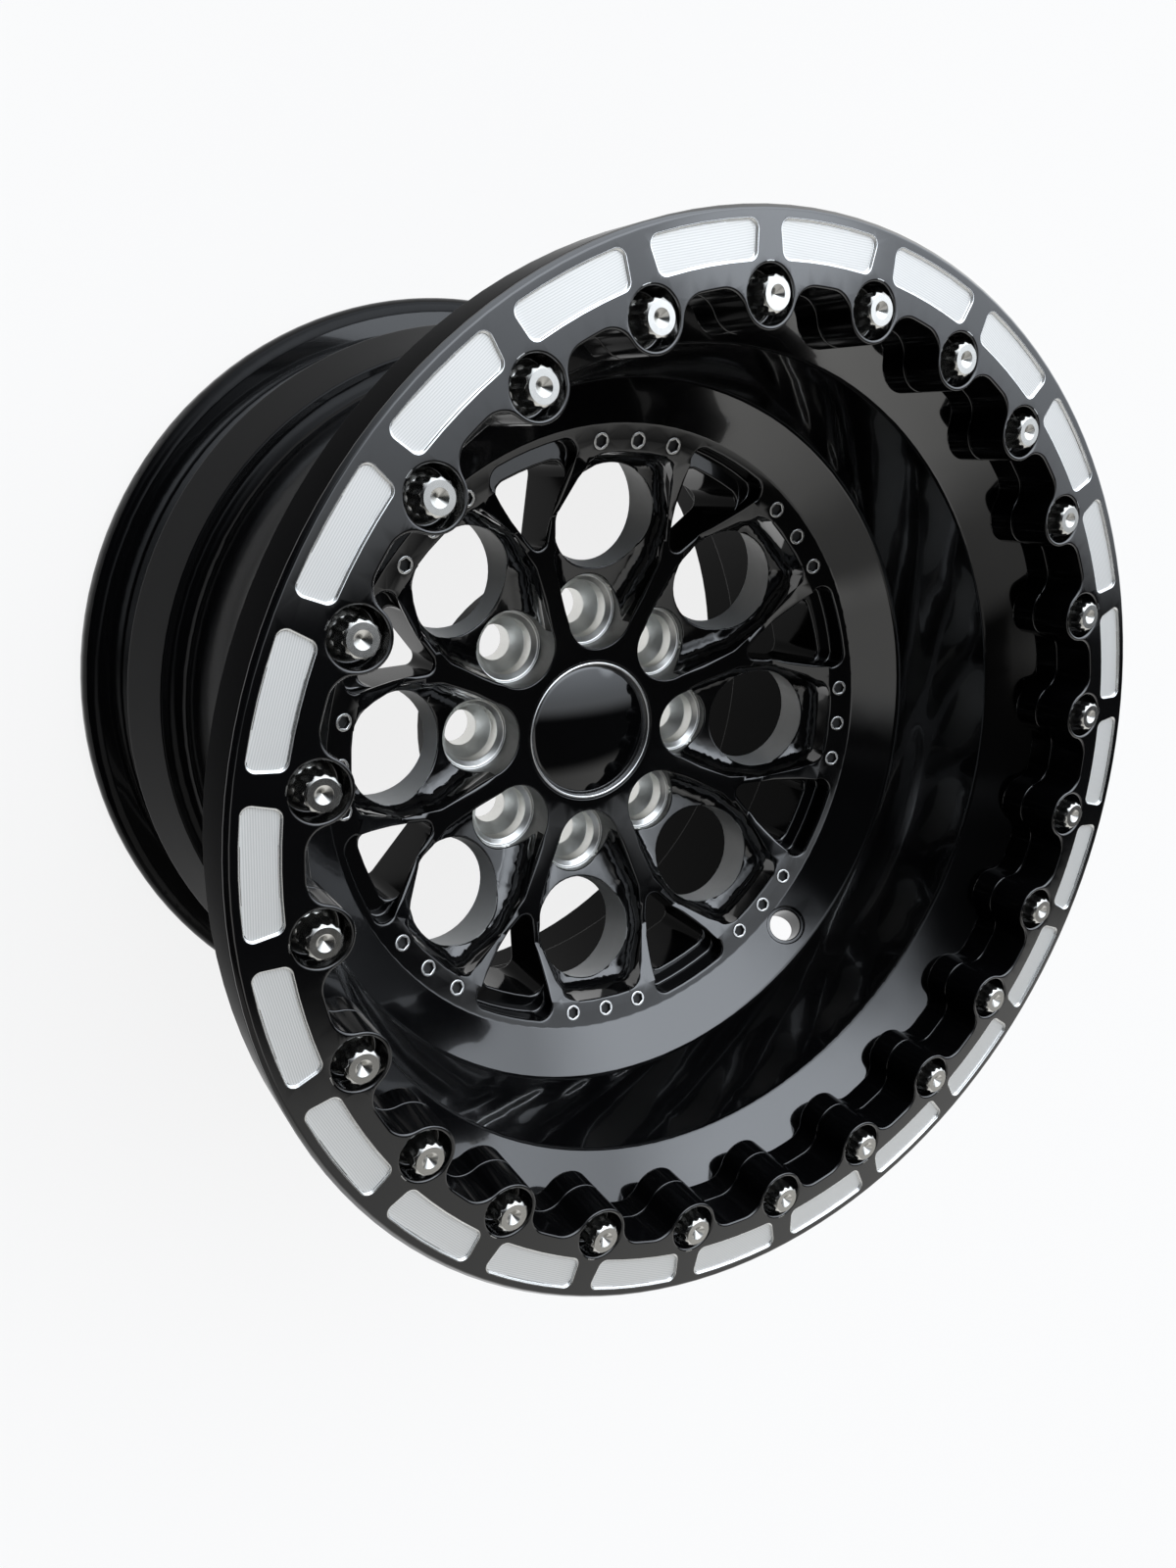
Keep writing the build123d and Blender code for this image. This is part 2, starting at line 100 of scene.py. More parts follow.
# Rolled edges: which borders are sharp, how the roll is limited and how many strips close it
sharp_angle = math.radians(18)
shade_angle = math.radians(42)
face_weight = 50
weld_gap = 0.001 * mm
sample_gap = 0.8 * mm
room_share = 0.44
facing_limit = -0.3
ahead_share = 0.5
roll_change = 0.4
straight_limit = 0.35
corner_lean = 0.35
slide_rolls = 2
slide_chain_share = 0.5
slide_share = 0.8
push_rolls = 2
push_share = 0.5
near_count = 6
roll_steps = 4


def new_piece(name, mesh, node):
    """Object that stands for a CAD node and rides on the part's only body."""
    piece = bpy.data.objects.new(name, mesh)
    bpy.context.scene.collection.objects.link(piece)
    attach(piece, "root")
    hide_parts(node)
    return piece


def smooth_shading(piece, angle):
    """Smooth shading that breaks where two faces meet at more than an angle."""
    for polygon in piece.data.polygons:
        polygon.use_smooth = True
    piece.data.set_sharp_from_angle(angle=angle)


def even_shading(piece):
    """Smooth shading in which the large faces keep their own direction."""
    smooth_shading(piece, shade_angle)
    weighted = piece.modifiers.new("even_shading", "WEIGHTED_NORMAL")
    weighted.mode = "FACE_AREA"
    weighted.weight = face_weight
    weighted.keep_sharp = True


class RolledMesh:
    """A CAD node's mesh with its sharp edges rolled over.

    The frame's mesh shares no vertex between two CAD faces. So each face is drawn back from its sharp
    borders, and a strip along a quadratic curve closes the gap between two faces.
    """

    def __init__(self, node, roll_at):
        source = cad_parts[node].data
        source.calc_loop_triangles()
        self.points = np.array([v.co for v in source.vertices])
        self.triangles = np.array([t.vertices for t in source.loop_triangles])
        self.roll_at = roll_at
        self.number_faces()
        self.find_borders()
        self.pair_borders()
        self.limit_rolls()
        self.draw_back()
        self.push_inner()

    def number_faces(self):
        """Number of the CAD face that each vertex belongs to."""
        number = np.arange(len(self.points))
        while True:
            lowest = np.repeat(number[self.triangles].min(axis=1), 3)
            fresh = number.copy()
            np.minimum.at(fresh, self.triangles.ravel(), lowest)
            fresh = fresh[fresh]
            if (fresh == number).all():
                break
            number = fresh
        self.face = number

    def find_borders(self):
        """Directed border edges of the CAD faces, each with its triangle's normal and inward direction."""
        keys = np.round(self.points / weld_gap).astype(np.int64)
        _, weld = np.unique(keys, axis=0, return_inverse=True)
        self.weld = weld.ravel()
        corners = self.points[self.triangles]
        normals = np.cross(corners[:, 1] - corners[:, 0], corners[:, 2] - corners[:, 0])
        normals /= np.maximum(np.linalg.norm(normals, axis=1), 1e-20)[:, None]
        sides = np.concatenate([self.triangles[:, pair] for pair in ([0, 1], [1, 2], [2, 0])])
        owner = np.tile(np.arange(len(self.triangles)), 3)
        _, which, count = np.unique(np.sort(sides, axis=1), axis=0, return_inverse=True, return_counts=True)
        border = (count[which.ravel()] == 1) & (self.weld[sides[:, 0]] != self.weld[sides[:, 1]])
        self.edges = sides[border]
        self.normals = normals[owner[border]]
        along = self.points[self.edges[:, 1]] - self.points[self.edges[:, 0]]
        self.lengths = np.linalg.norm(along, axis=1)
        self.inward = np.cross(self.normals, along / self.lengths[:, None])
        self.arriving = {edge[1]: i for i, edge in enumerate(self.edges)}
        self.leaving = {edge[0]: i for i, edge in enumerate(self.edges)}

    def pair_borders(self):
        """Couples of border edges that lie on one another and meet at a sharp angle."""
        meeting = {}
        for edge, ends in enumerate(np.sort(self.weld[self.edges], axis=1)):
            meeting.setdefault(tuple(ends), []).append(edge)
        self.sharp = np.zeros(len(self.edges), bool)
        self.couples = []
        for edges in meeting.values():
            if len(edges) != 2:
                continue
            first, second = edges
            middle = self.points[self.edges[first]].mean(axis=0)
            turn = np.dot(self.normals[first], self.normals[second])
            if turn < math.cos(sharp_angle) and self.roll_at(middle) > 0:
                self.sharp[edges] = True
                self.couples.append((first, second))

    def border_samples(self, edges):
        """Search tree of places along some border edges, and the edge that each place lies on."""
        places, owner = [], []
        for edge in edges:
            start, end = self.points[self.edges[edge]]
            count = max(1, int(self.lengths[edge] / sample_gap))
            for k in range(count):
                places.append(start + (end - start) * (k + 0.5) / count)
                owner.append(edge)
        tree = KDTree(len(places))
        for index, place in enumerate(places):
            tree.insert(place, index)
        tree.balance()
        return tree, owner

    def smooth_turn(self, vertex):
        """Whether a vertex's sharp edge runs straight on into a smooth one, where the roll dies out."""
        a, b = self.arriving.get(vertex), self.leaving.get(vertex)
        if a is None or b is None or self.sharp[a] == self.sharp[b]:
            return False
        edge, other = (a, self.edges[b][1]) if self.sharp[a] else (b, self.edges[a][0])
        slide = self.points[other] - self.points[vertex]
        return np.dot(slide, self.inward[edge]) < straight_limit * np.linalg.norm(slide)

    def limit_rolls(self):
        """Roll at each welded point: what is asked for, within the room that its faces leave."""
        tree, owner = self.border_samples(range(len(self.edges)))
        self.roll = np.full(self.weld.max() + 1, np.inf)
        for edge in np.flatnonzero(self.sharp):
            inward = self.inward[edge]
            for vertex in self.edges[edge]:
                place = self.points[vertex]
                room = 0.0 if self.smooth_turn(vertex) else self.roll_at(place)
                for other_place, index, gap in tree.find_range(place, room / room_share):
                    other = owner[index]
                    if self.face[self.edges[other][0]] != self.face[vertex]:
                        continue
                    faces_it = np.dot(inward, self.inward[other]) < facing_limit
                    if faces_it and np.dot(np.array(other_place) - place, inward) > ahead_share * gap:
                        room = min(room, room_share * gap)
                self.roll[self.weld[vertex]] = min(self.roll[self.weld[vertex]], room)
        ends = self.weld[self.edges[self.sharp]]
        slack = roll_change * self.lengths[self.sharp]
        before = None
        while before is None or (before != self.roll).any():
            before = self.roll.copy()
            np.minimum.at(self.roll, ends[:, 0], before[ends[:, 1]] + slack)
            np.minimum.at(self.roll, ends[:, 1], before[ends[:, 0]] + slack)

    def draw_back(self):
        """Moves each border vertex away from its sharp edges, within its own face."""
        self.moved = self.points.copy()
        for vertex in set(self.edges[self.sharp].ravel()):
            a, b = self.arriving.get(vertex), self.leaving.get(vertex)
            roll = self.roll[self.weld[vertex]]
            if a is None or b is None or roll == 0:
                continue
            if self.sharp[a] and self.sharp[b]:
                lean = 1 + np.dot(self.inward[a], self.inward[b])
                step = (self.inward[a] + self.inward[b]) / max(lean, corner_lean)
                self.moved[vertex] = self.points[vertex] + roll * step
            else:
                self.slide_along(vertex, roll, ahead=self.sharp[a])

    def slide_along(self, vertex, roll, ahead):
        """Slides a vertex along the smooth border that leaves its sharp edge, and the vertices after it."""
        follow, side = (self.leaving, 1) if ahead else (self.arriving, 0)
        chain = [vertex]
        while True:
            edge = follow.get(chain[-1])
            if edge is None or self.sharp[edge] or self.edges[edge][side] == vertex:
                break
            chain.append(self.edges[edge][side])
        places = self.points[chain]
        runs = np.concatenate([[0], np.cumsum(np.linalg.norm(np.diff(places, axis=0), axis=1))])
        reach = min(slide_chain_share * runs[-1], slide_rolls * roll)
        roll = min(roll, slide_share * reach)
        for member, run in zip(chain, runs):
            if run >= reach:
                break
            fresh = roll + run * (reach - roll) / reach
            self.moved[member] = [np.interp(fresh, runs, places[:, k]) for k in range(3)]

    def push_inner(self):
        """Moves the inner vertices of a face out of the way of its drawn-back borders."""
        tree, owner = self.border_samples(np.flatnonzero(self.sharp))
        inner = np.ones(len(self.points), bool)
        inner[self.edges.ravel()] = False
        for vertex in np.flatnonzero(inner):
            place = self.points[vertex]
            for _, index, gap in tree.find_n(place, near_count):
                edge = owner[index]
                ends = self.edges[edge]
                roll = self.roll[self.weld[ends]].mean()
                if self.face[ends[0]] == self.face[vertex] and gap < push_rolls * roll:
                    self.moved[vertex] = place + (roll - push_share * gap) * self.inward[edge]
                    break

    def roll_curve(self, first, second, t):
        """Place on the curve from one drawn-back vertex to the other, about the corner that they left."""
        near, corner, far = self.moved[first], self.points[first], self.moved[second]
        return tuple((1 - t) ** 2 * near + 2 * t * (1 - t) * corner + t * t * far)

    def build(self, name):
        """Mesh of the drawn-back faces, the strips between them and the corners."""
        points = [tuple(p) for p in self.moved]
        columns = {}

        def column(first, second):
            """Numbers of the points across the roll, from one vertex to the other."""
            if (first, second) not in columns:
                fresh = [self.roll_curve(first, second, k / roll_steps) for k in range(1, roll_steps)]
                numbers = range(len(points), len(points) + len(fresh))
                points.extend(fresh)
                columns[(first, second)] = [first, *numbers, second]
            return columns[(first, second)]

        faces = [tuple(t) for t in self.triangles]
        for first, second in self.couples:
            start, end = self.edges[first]
            far = {self.weld[v]: v for v in self.edges[second]}
            left, right = column(start, far[self.weld[start]]), column(end, far[self.weld[end]])
            for k in range(roll_steps):
                faces.append((right[k], left[k], left[k + 1], right[k + 1]))
        mesh = bpy.data.meshes.new(name)
        mesh.from_pydata(points, [], faces)
        shape = bmesh.new()
        shape.from_mesh(mesh)
        bmesh.ops.remove_doubles(shape, verts=shape.verts, dist=2 * weld_gap)
        bmesh.ops.dissolve_degenerate(shape, edges=shape.edges, dist=weld_gap)
        open_edges = [e for e in shape.edges if e.is_boundary]
        bmesh.ops.holes_fill(shape, edges=open_edges, sides=0)
        bmesh.ops.triangulate(shape, faces=[f for f in shape.faces if len(f.verts) > 4])
        bmesh.ops.recalc_face_normals(shape, faces=shape.faces)
        shape.to_mesh(mesh)
        shape.free()
        return mesh


def stacked_mesh(name, stacks):
    """Mesh of closed stacks, each a list of loops of equally many places, filled at both ends."""
    points, faces = [], []
    for loops in stacks:
        base = len(points)
        count = len(loops[0])
        for loop in loops:
            points.extend(loop)
        for k in range(len(loops) - 1):
            low = base + k * count
            for i in range(count):
                j = (i + 1) % count
                faces.append((low + i, low + j, low + count + j, low + count + i))
        faces.append(tuple(reversed(range(base, base + count))))
        faces.append(tuple(range(len(points) - count, len(points))))
    mesh = bpy.data.meshes.new(name)
    mesh.from_pydata(points, [], faces)
    return mesh


# Node helpers


def new_material(name):
    """Material with its node tree and its Principled shader."""
    material = bpy.data.materials.new(name)
    material.use_nodes = True
    tree = material.node_tree
    return material, tree, tree.nodes["Principled BSDF"]


def add_node(tree, kind, **inputs):
    """Node of a kind, with values for its inputs by name."""
    node = tree.nodes.new(kind)
    for label, value in inputs.items():
        node.inputs[label.replace("_", " ")].default_value = value
    return node


def sum_node(tree, operation, *values):
    """Result of a Math node on numbers and sockets."""
    node = add_node(tree, "ShaderNodeMath")
    node.operation = operation
    for socket, value in zip(node.inputs, values):
        if isinstance(value, (int, float)):
            socket.default_value = value
        else:
            tree.links.new(value, socket)
    return node.outputs[0]


def length_node(tree, x, y):
    """Length of a line in a plane, from its two parts."""
    square = sum_node(tree, "ADD", sum_node(tree, "MULTIPLY", x, x), sum_node(tree, "MULTIPLY", y, y))
    return sum_node(tree, "SQRT", square)


def place_socket(tree):
    """Place on the part, in metres, which is the same from every side."""
    return add_node(tree, "ShaderNodeTexCoord").outputs["Object"]


def noise(tree, waves, detail):
    """Noise at so many waves a metre."""
    texture = add_node(tree, "ShaderNodeTexNoise", Scale=waves, Detail=detail)
    tree.links.new(place_socket(tree), texture.inputs["Vector"])
    return texture.outputs["Fac"]


def spread(tree, value, low, high):
    """Value from 0 to 1, spread from low to high."""
    node = add_node(tree, "ShaderNodeMapRange", To_Min=low, To_Max=high)
    tree.links.new(value, node.inputs["Value"])
    return node.outputs["Result"]


def fade(tree, value, low, high):
    """Smooth step from 0 at low to 1 at high."""
    node = add_node(tree, "ShaderNodeMapRange", From_Min=low, From_Max=high)
    node.interpolation_type = "SMOOTHSTEP"
    tree.links.new(value, node.inputs["Value"])
    return node.outputs["Result"]


def blend_colours(tree, value, first, second):
    """Colour from first to second as a value goes from 0 to 1."""
    ramp = add_node(tree, "ShaderNodeValToRGB")
    ramp.color_ramp.elements[0].color = (*first, 1)
    ramp.color_ramp.elements[1].color = (*second, 1)
    tree.links.new(value, ramp.inputs["Fac"])
    return ramp.outputs["Color"]


def add_bump(tree, shader, height, strength, distance):
    """Bump from a height value on a shader."""
    bump = add_node(tree, "ShaderNodeBump", Strength=strength, Distance=distance)
    tree.links.new(height, bump.inputs["Height"])
    tree.links.new(bump.outputs["Normal"], shader.inputs["Normal"])


def folded_place(tree, count):
    """Sockets of a place turned back to the first of so many like sectors: outward and across."""
    parts = add_node(tree, "ShaderNodeSeparateXYZ")
    tree.links.new(place_socket(tree), parts.inputs[0])
    x, y = parts.outputs["X"], parts.outputs["Y"]
    radius = length_node(tree, x, y)
    half_pitch = math.pi / count
    angle = sum_node(tree, "WRAP", sum_node(tree, "ARCTAN2", y, x), half_pitch, -half_pitch)
    outward = sum_node(tree, "MULTIPLY", radius, sum_node(tree, "COSINE", angle))
    across = sum_node(tree, "MULTIPLY", radius, sum_node(tree, "SINE", angle))
    return outward, across


def lines(tree, distance, pitch):
    """Wave from 0 to 1 along a distance, with a crest at every pitch."""
    wave = sum_node(tree, "SINE", sum_node(tree, "MULTIPLY", distance, 2 * math.pi / pitch))
    return sum_node(tree, "MULTIPLY_ADD", wave, 0.5, 0.5)


def towards(tree, direction, reach):
    """Smooth step from 0 to 1 as a line of sight nears a direction, between two cosines of the angle."""
    product = add_node(tree, "ShaderNodeVectorMath")
    product.operation = "DOT_PRODUCT"
    product.inputs[1].default_value = direction
    tree.links.new(add_node(tree, "ShaderNodeTexCoord").outputs["Generated"], product.inputs[0])
    return fade(tree, product.outputs["Value"], *reach)


# Materials: colours, roughness from and to, grains in waves a metre and depths of bump
paint_dark = (0.0012, 0.0012, 0.0014)
paint_light = (0.0026, 0.0026, 0.0029)
paint_grain = 60
paint_gloss_grain = 25
paint_gloss_ior = 1.5
paint_peel_grain = 300
paint_peel_strength = 0.04
paint_peel_depth = 0.05 * mm
coat_roughness = 0.03
gloss_roughness = (0.08, 0.13)
dome_roughness = (0.03, 0.06)
side_roughness = (0.1, 0.16)
satin_grain = 90
satin_rough_grain = 200
satin_roughness = (0.42, 0.55)
satin_bump_grain = 900
satin_bump_strength = 0.12
satin_bump_depth = 0.05 * mm
turned_grain = 240
turned_strength = 0.25
milled_grain = 400
milled_strength = 0.3
milled_metallic = 0.5
tool_mark_depth = 0.03 * mm


def black(name, roughness, ior, coat):
    """Black paint with a faint orange peel, under a clear coat of some weight."""
    material, tree, shader = new_material(name)
    colour = blend_colours(tree, noise(tree, paint_grain, 4), paint_dark, paint_light)
    tree.links.new(colour, shader.inputs["Base Color"])
    gloss = spread(tree, noise(tree, paint_gloss_grain, 3), *roughness)
    tree.links.new(gloss, shader.inputs["Roughness"])
    shader.inputs["IOR"].default_value = ior
    shader.inputs["Coat Weight"].default_value = coat
    shader.inputs["Coat Roughness"].default_value = coat_roughness
    add_bump(tree, shader, noise(tree, paint_peel_grain, 1), paint_peel_strength, paint_peel_depth)
    return material


def satin(name, dark, light):
    """Satin colour, slightly rough: paint for the round holes' walls, and painted shade for the rivets'
    sockets.
    """
    material, tree, shader = new_material(name)
    colour = blend_colours(tree, noise(tree, satin_grain, 4), dark, light)
    tree.links.new(colour, shader.inputs["Base Color"])
    gloss = spread(tree, noise(tree, satin_rough_grain, 3), *satin_roughness)
    tree.links.new(gloss, shader.inputs["Roughness"])
    add_bump(tree, shader, noise(tree, satin_bump_grain, 2), satin_bump_strength, satin_bump_depth)
    return material


def metal_nodes(name, dark, light, roughness, grain):
    """Bare metal whose tone and roughness vary with a grain, with its node tree and shader."""
    material, tree, shader = new_material(name)
    value = noise(tree, grain, 3)
    tree.links.new(blend_colours(tree, value, dark, light), shader.inputs["Base Color"])
    tree.links.new(spread(tree, value, *roughness), shader.inputs["Roughness"])
    shader.inputs["Metallic"].default_value = 1.0
    return material, tree, shader


def metal(name, dark, light, roughness, grain):
    """Bare metal without tool marks."""
    return metal_nodes(name, dark, light, roughness, grain)[0]


def turned_metal(name, dark, light, roughness, pitch):
    """Metal turned about the nearest lug's axis, with rings of tool marks."""
    material, tree, shader = metal_nodes(name, dark, light, roughness, turned_grain)
    outward, across = folded_place(tree, spoke_count)
    gap = length_node(tree, sum_node(tree, "SUBTRACT", outward, lug_centre_radius), across)
    add_bump(tree, shader, lines(tree, gap, pitch), turned_strength, tool_mark_depth)
    return material


def milled_metal(name, dark, light, roughness, pitch):
    """Metal milled in lines along the ring's windows, dull enough to show some of its own colour."""
    material, tree, shader = metal_nodes(name, dark, light, roughness, milled_grain)
    outward, _ = folded_place(tree, bolt_count)
    marks = lines(tree, outward, pitch)
    tree.links.new(blend_colours(tree, marks, dark, light), shader.inputs["Base Color"])
    shader.inputs["Metallic"].default_value = milled_metallic
    add_bump(tree, shader, marks, milled_strength, tool_mark_depth)
    return material


black_paint = black("gloss_black_paint", gloss_roughness, paint_gloss_ior, coat=1.0)
dome_black = black("dome_black", dome_roughness, paint_gloss_ior, coat=1.0)
barrel_paint = black("barrel_black_paint", side_roughness, 1.24, coat=0.0)
edge_paint = black("edge_black_paint", side_roughness, 1.015, coat=0.0)
side_paint = black("side_black_paint", side_roughness, 1.12, coat=0.0)
hole_paint = satin("satin_hole_paint", (0.33, 0.33, 0.323), (0.42, 0.42, 0.41))
# Painted shade: a near-black colour for the rivets' sockets, recesses in the bright steel where shade falls
socket_painted_shade = satin("socket_painted_shade", (0.006, 0.006, 0.006), (0.012, 0.012, 0.012))
well_wall = turned_metal("turned_well_wall", (0.1, 0.1, 0.098), (0.2, 0.2, 0.196), (0.35, 0.5), 1.1 * mm)
turned = turned_metal("turned_seat", (0.74, 0.74, 0.71), (0.9, 0.9, 0.87), (0.28, 0.38), 0.6 * mm)
milled = milled_metal("milled_floor", (0.64, 0.633, 0.61), (0.8, 0.79, 0.765), (0.42, 0.5), 0.8 * mm)
polished = metal("polished_border", (0.78, 0.785, 0.78), (0.9, 0.9, 0.89), (0.14, 0.22), 300)
stainless = metal("stainless_bolt", (0.52, 0.513, 0.49), (0.64, 0.63, 0.6), (0.18, 0.26), 400)
bright_steel = metal("bright_rivet", (0.78, 0.78, 0.77), (0.9, 0.9, 0.89), (0.2, 0.3), 900)
plated = metal("plated_rim", (0.86, 0.86, 0.86), (0.95, 0.95, 0.95), (0.16, 0.24), 300)
spring_steel = metal("spring_steel", (0.32, 0.32, 0.33), (0.45, 0.45, 0.45), (0.25, 0.4), 600)


def finish_by_place(piece, materials, choose):
    """Gives each face of a piece the material that the chooser returns for its centre and normal."""
    for material in materials:
        piece.data.materials.append(material)
    number = {material.name: k for k, material in enumerate(materials)}
    for polygon in piece.data.polygons:
        polygon.material_index = number[choose(polygon.center, polygon.normal).name]


# Places on the wheel


def folded(place, count, turn=0.0):
    """Place turned by an angle, then back to the first of so many like sectors: outward and across."""
    pitch = 2 * math.pi / count
    radius = math.hypot(place[0], place[1])
    angle = (math.atan2(place[1], place[0]) + turn + pitch / 2) % pitch - pitch / 2
    return radius * math.cos(angle), radius * math.sin(angle)


def tilted(outward, height, tilt):
    """Offsets from an axis leaning inwards by an angle: along the axis and square to it."""
    along = height * math.cos(tilt) - outward * math.sin(tilt)
    return along, outward * math.cos(tilt) + height * math.sin(tilt)


def from_lug(place):
    """Distance from the nearest lug's axis."""
    outward, across = folded(place, spoke_count)
    return math.hypot(outward - lug_centre_radius, across)


def from_bolt(place):
    """Distance from the nearest bolt's axis."""
    outward, across = folded(place, bolt_count, math.pi / bolt_count)
    return math.hypot(outward - bolt_centre_radius, across)


def from_round_hole(place):
    """Distance from the nearest round hole's axis."""
    outward, across = folded(place, spoke_count)
    height = place[2] - round_hole_centre_z
    _, square = tilted(outward - round_hole_centre_radius, height, round_hole_tilt)
    return math.hypot(square, across)


def from_rivet(place):
    """Height above the rivet band and distance from the axis, for the nearest rivet."""
    radius = math.hypot(place[0], place[1])
    outward, across = folded(place, spoke_count)
    angle = math.atan2(across, outward)
    angle -= rivet_spacing * max(-1, min(1, round(angle / rivet_spacing)))
    outward = radius * math.cos(angle) - rivet_centre_radius
    height, square = tilted(outward, place[2] - rivet_band_z, rivet_tilt)
    return height, math.hypot(square, radius * math.sin(angle))


# Wheel: rolls of its edges
rear_roll = 0.8 * mm
flange_roll = 1.0 * mm
joint_roll = 0.5 * mm
band_roll = 1.2 * mm
hub_roll = 0.5 * mm
spoke_roll = 1.7 * mm
hole_roll = 0.9 * mm
well_roll = 0.7 * mm
seat_roll = 0.35 * mm

# Wheel: zones of its rolls and paints
clamp_face_gap = 0.1 * mm
clamp_underside_z = 146.0 * mm
flange_zone = 5.0 * mm
joint_radius = 189.0 * mm
bolt_gap = 6.0 * mm
rivet_zone = 5.0 * mm
rivet_hole_zone = 4.1 * mm
band_margin = 0.5 * mm
spoke_inner_radius = 34.5 * mm
spoke_low_z = 26.0 * mm
web_rear_z = 12.0 * mm
well_margin = 0.1 * mm
well_paint_margin = 0.05 * mm
well_wall_zone = 0.3 * mm
seat_zone = 1.0 * mm
hub_pad_high_z = 1.0 * mm
hole_margin = 0.2 * mm
hole_paint_margin = 0.25 * mm
side_radius = 165.0 * mm
hollow_high_z = 40.0 * mm
fork_low_radius = 88.0 * mm
fork_slope = math.tan(math.radians(11))

# Wheel: valve hole, through the lower band of the dish
valve_place = Vector((111.06, -111.06, 62.659)) * mm
valve_axis = Vector((0.44932, -0.44932, -0.772155))
valve_radius = 7.95 * mm
valve_margin = 0.1 * mm
valve_reach = 40.0 * mm

# Wheel: upward share of a face's normal, up to which it counts as a wall or a rear face
well_wall_lean = 0.2
hole_wall_lean = 0.5
scallop_lean = 0.3
fork_wall_lean = 0.1
rear_lean = 0.05


def wheel_roll_at(place):
    """Roll of the wheel's edges: full on the spokes, less at holes, none under the rivets and the ring."""
    radius = math.hypot(place[0], place[1])
    if place[2] > clamp_face_z - clamp_face_gap:
        return joint_roll if radius < joint_radius and from_bolt(place) > bolt_gap else 0.0
    if place[2] > clamp_underside_z - flange_zone:
        return flange_roll
    if abs(radius - rivet_centre_radius) < rivet_zone and from_rivet(place)[1] < rivet_hole_zone:
        return 0.0
    if radius > band_inner_radius - band_margin:
        return band_roll if place[2] > 0 else rear_roll
    if radius < spoke_inner_radius:
        return hub_roll
    if from_lug(place) < lug_well_radius + well_margin:
        return seat_roll if place[2] < spoke_low_z else well_roll
    if place[2] < web_rear_z:
        return rear_roll
    if abs(from_round_hole(place) - round_hole_radius) < hole_margin:
        return hole_roll
    return spoke_roll


def in_valve_hole(place):
    """Whether a place lies on the wall of the valve hole."""
    offset = Vector(place) - valve_place
    gap = offset.cross(valve_axis).length
    return offset.length < valve_reach and gap < valve_radius + valve_margin


def in_fork_window(place):
    """Whether a place lies within the sector of a fork window, below the rivet band."""
    outward, across = folded(place, spoke_count, math.pi / spoke_count)
    in_sector = outward > fork_low_radius and abs(across) < outward * fork_slope
    return in_sector and place[2] < rivet_band_z


def wheel_finish(centre, normal):
    """Bare seats and dark walls in the lug wells, satin walls in the round holes and paint elsewhere."""
    lug_gap = from_lug(centre)
    if lug_gap < lug_well_radius + well_paint_margin and centre.z > hub_pad_high_z:
        if centre.z < lug_seat_z + seat_zone:
            return turned
        if lug_gap > lug_well_radius - well_wall_zone and abs(normal.z) < well_wall_lean:
            return well_wall
    hole_gap = abs(from_round_hole(centre) - round_hole_radius)
    if hole_gap < hole_paint_margin and abs(normal.z) < hole_wall_lean:
        return hole_paint
    faces_out = centre.x * normal.x + centre.y * normal.y > 0
    if math.hypot(centre.x, centre.y) > side_radius and faces_out:
        return barrel_paint
    scallop = centre.z > clamp_underside_z + flange_roll and abs(normal.z) < scallop_lean
    rear = centre.z < hollow_high_z and normal.z < rear_lean
    fork_wall = in_fork_window(centre) and abs(normal.z) < fork_wall_lean
    return side_paint if scallop or rear or fork_wall or in_valve_hole(centre) else black_paint


wheel_mesh = RolledMesh("wheel", wheel_roll_at).build("wheel_body")
wheel = new_piece("wheel_body", wheel_mesh, "wheel")
finish_by_place(wheel, [black_paint, turned, well_wall, hole_paint, barrel_paint, side_paint], wheel_finish)
even_shading(wheel)

# Beadlock ring
ring_roll = 1.1 * mm
edge_roll = 0.5 * mm
window_roll = 0.5 * mm
edge_zone_radius = 207.0 * mm
counterbore_radius = 9.8 * mm
window_zone_depth = 1.5 * window_depth
window_roll_margin = 0.5 * mm
window_paint_margin = 0.6 * mm
window_floor_depth = 0.95 * window_depth
window_floor_level = 0.99
window_face_gap = 0.01 * mm
ring_side_lean = 0.3


def ring_roll_at(place):
    """Roll of the ring's edges: less round the milled windows and on the rim's chamfers."""
    radius = math.hypot(place[0], place[1])
    if radius > edge_zone_radius:
        return edge_roll
    if radius > window_inner_radius - window_roll_margin and place[2] > ring_face_z - window_zone_depth:
        return window_roll
    return ring_roll


def ring_finish(centre, normal):
    """Milled floor and polished border in the windows, paint elsewhere."""
    radius = math.hypot(centre.x, centre.y)
    depth = ring_face_z - centre.z
    if abs(normal.z) < ring_side_lean:
        if radius > edge_zone_radius:
            return edge_paint
        if radius < window_inner_radius and from_bolt(centre) > counterbore_radius:
            return side_paint
    inside = radius > window_inner_radius - window_paint_margin
    outside = radius > window_outer_radius + window_paint_margin
    if outside or not inside or not window_face_gap < depth < window_zone_depth:
        return black_paint
    return milled if normal.z > window_floor_level and depth > window_floor_depth else polished


ring_mesh = RolledMesh("beadlock_ring", ring_roll_at).build("clamp_ring")
ring = new_piece("clamp_ring", ring_mesh, "beadlock_ring")
finish_by_place(ring, [black_paint, milled, polished, side_paint, edge_paint], ring_finish)
even_shading(ring)

# Beadlock bolts: shank, coned flange and twelve-point head with a chamfer and a dimple
bolt_sides = 72
bolt_shade_angle = math.radians(22)
shank_radius = 4.76 * mm
flange_radius = 8.5 * mm
flange_low_z = ring_face_z - 10.5 * mm
flange_rim_z = flange_low_z + 1.3 * mm
head_low_z = flange_low_z + 2.5 * mm
head_radius = 6.3 * mm
head_flat_radius = 5.2 * mm
chamfer_rise = math.tan(math.radians(42))
chamfer_steps = 5
dimple_radius = 2.9 * mm
dimple_depth = 2.1 * mm
dimple_tip_radius = 0.05 * mm
edge_ease = 0.3 * mm
dimple_ease = 0.15 * mm


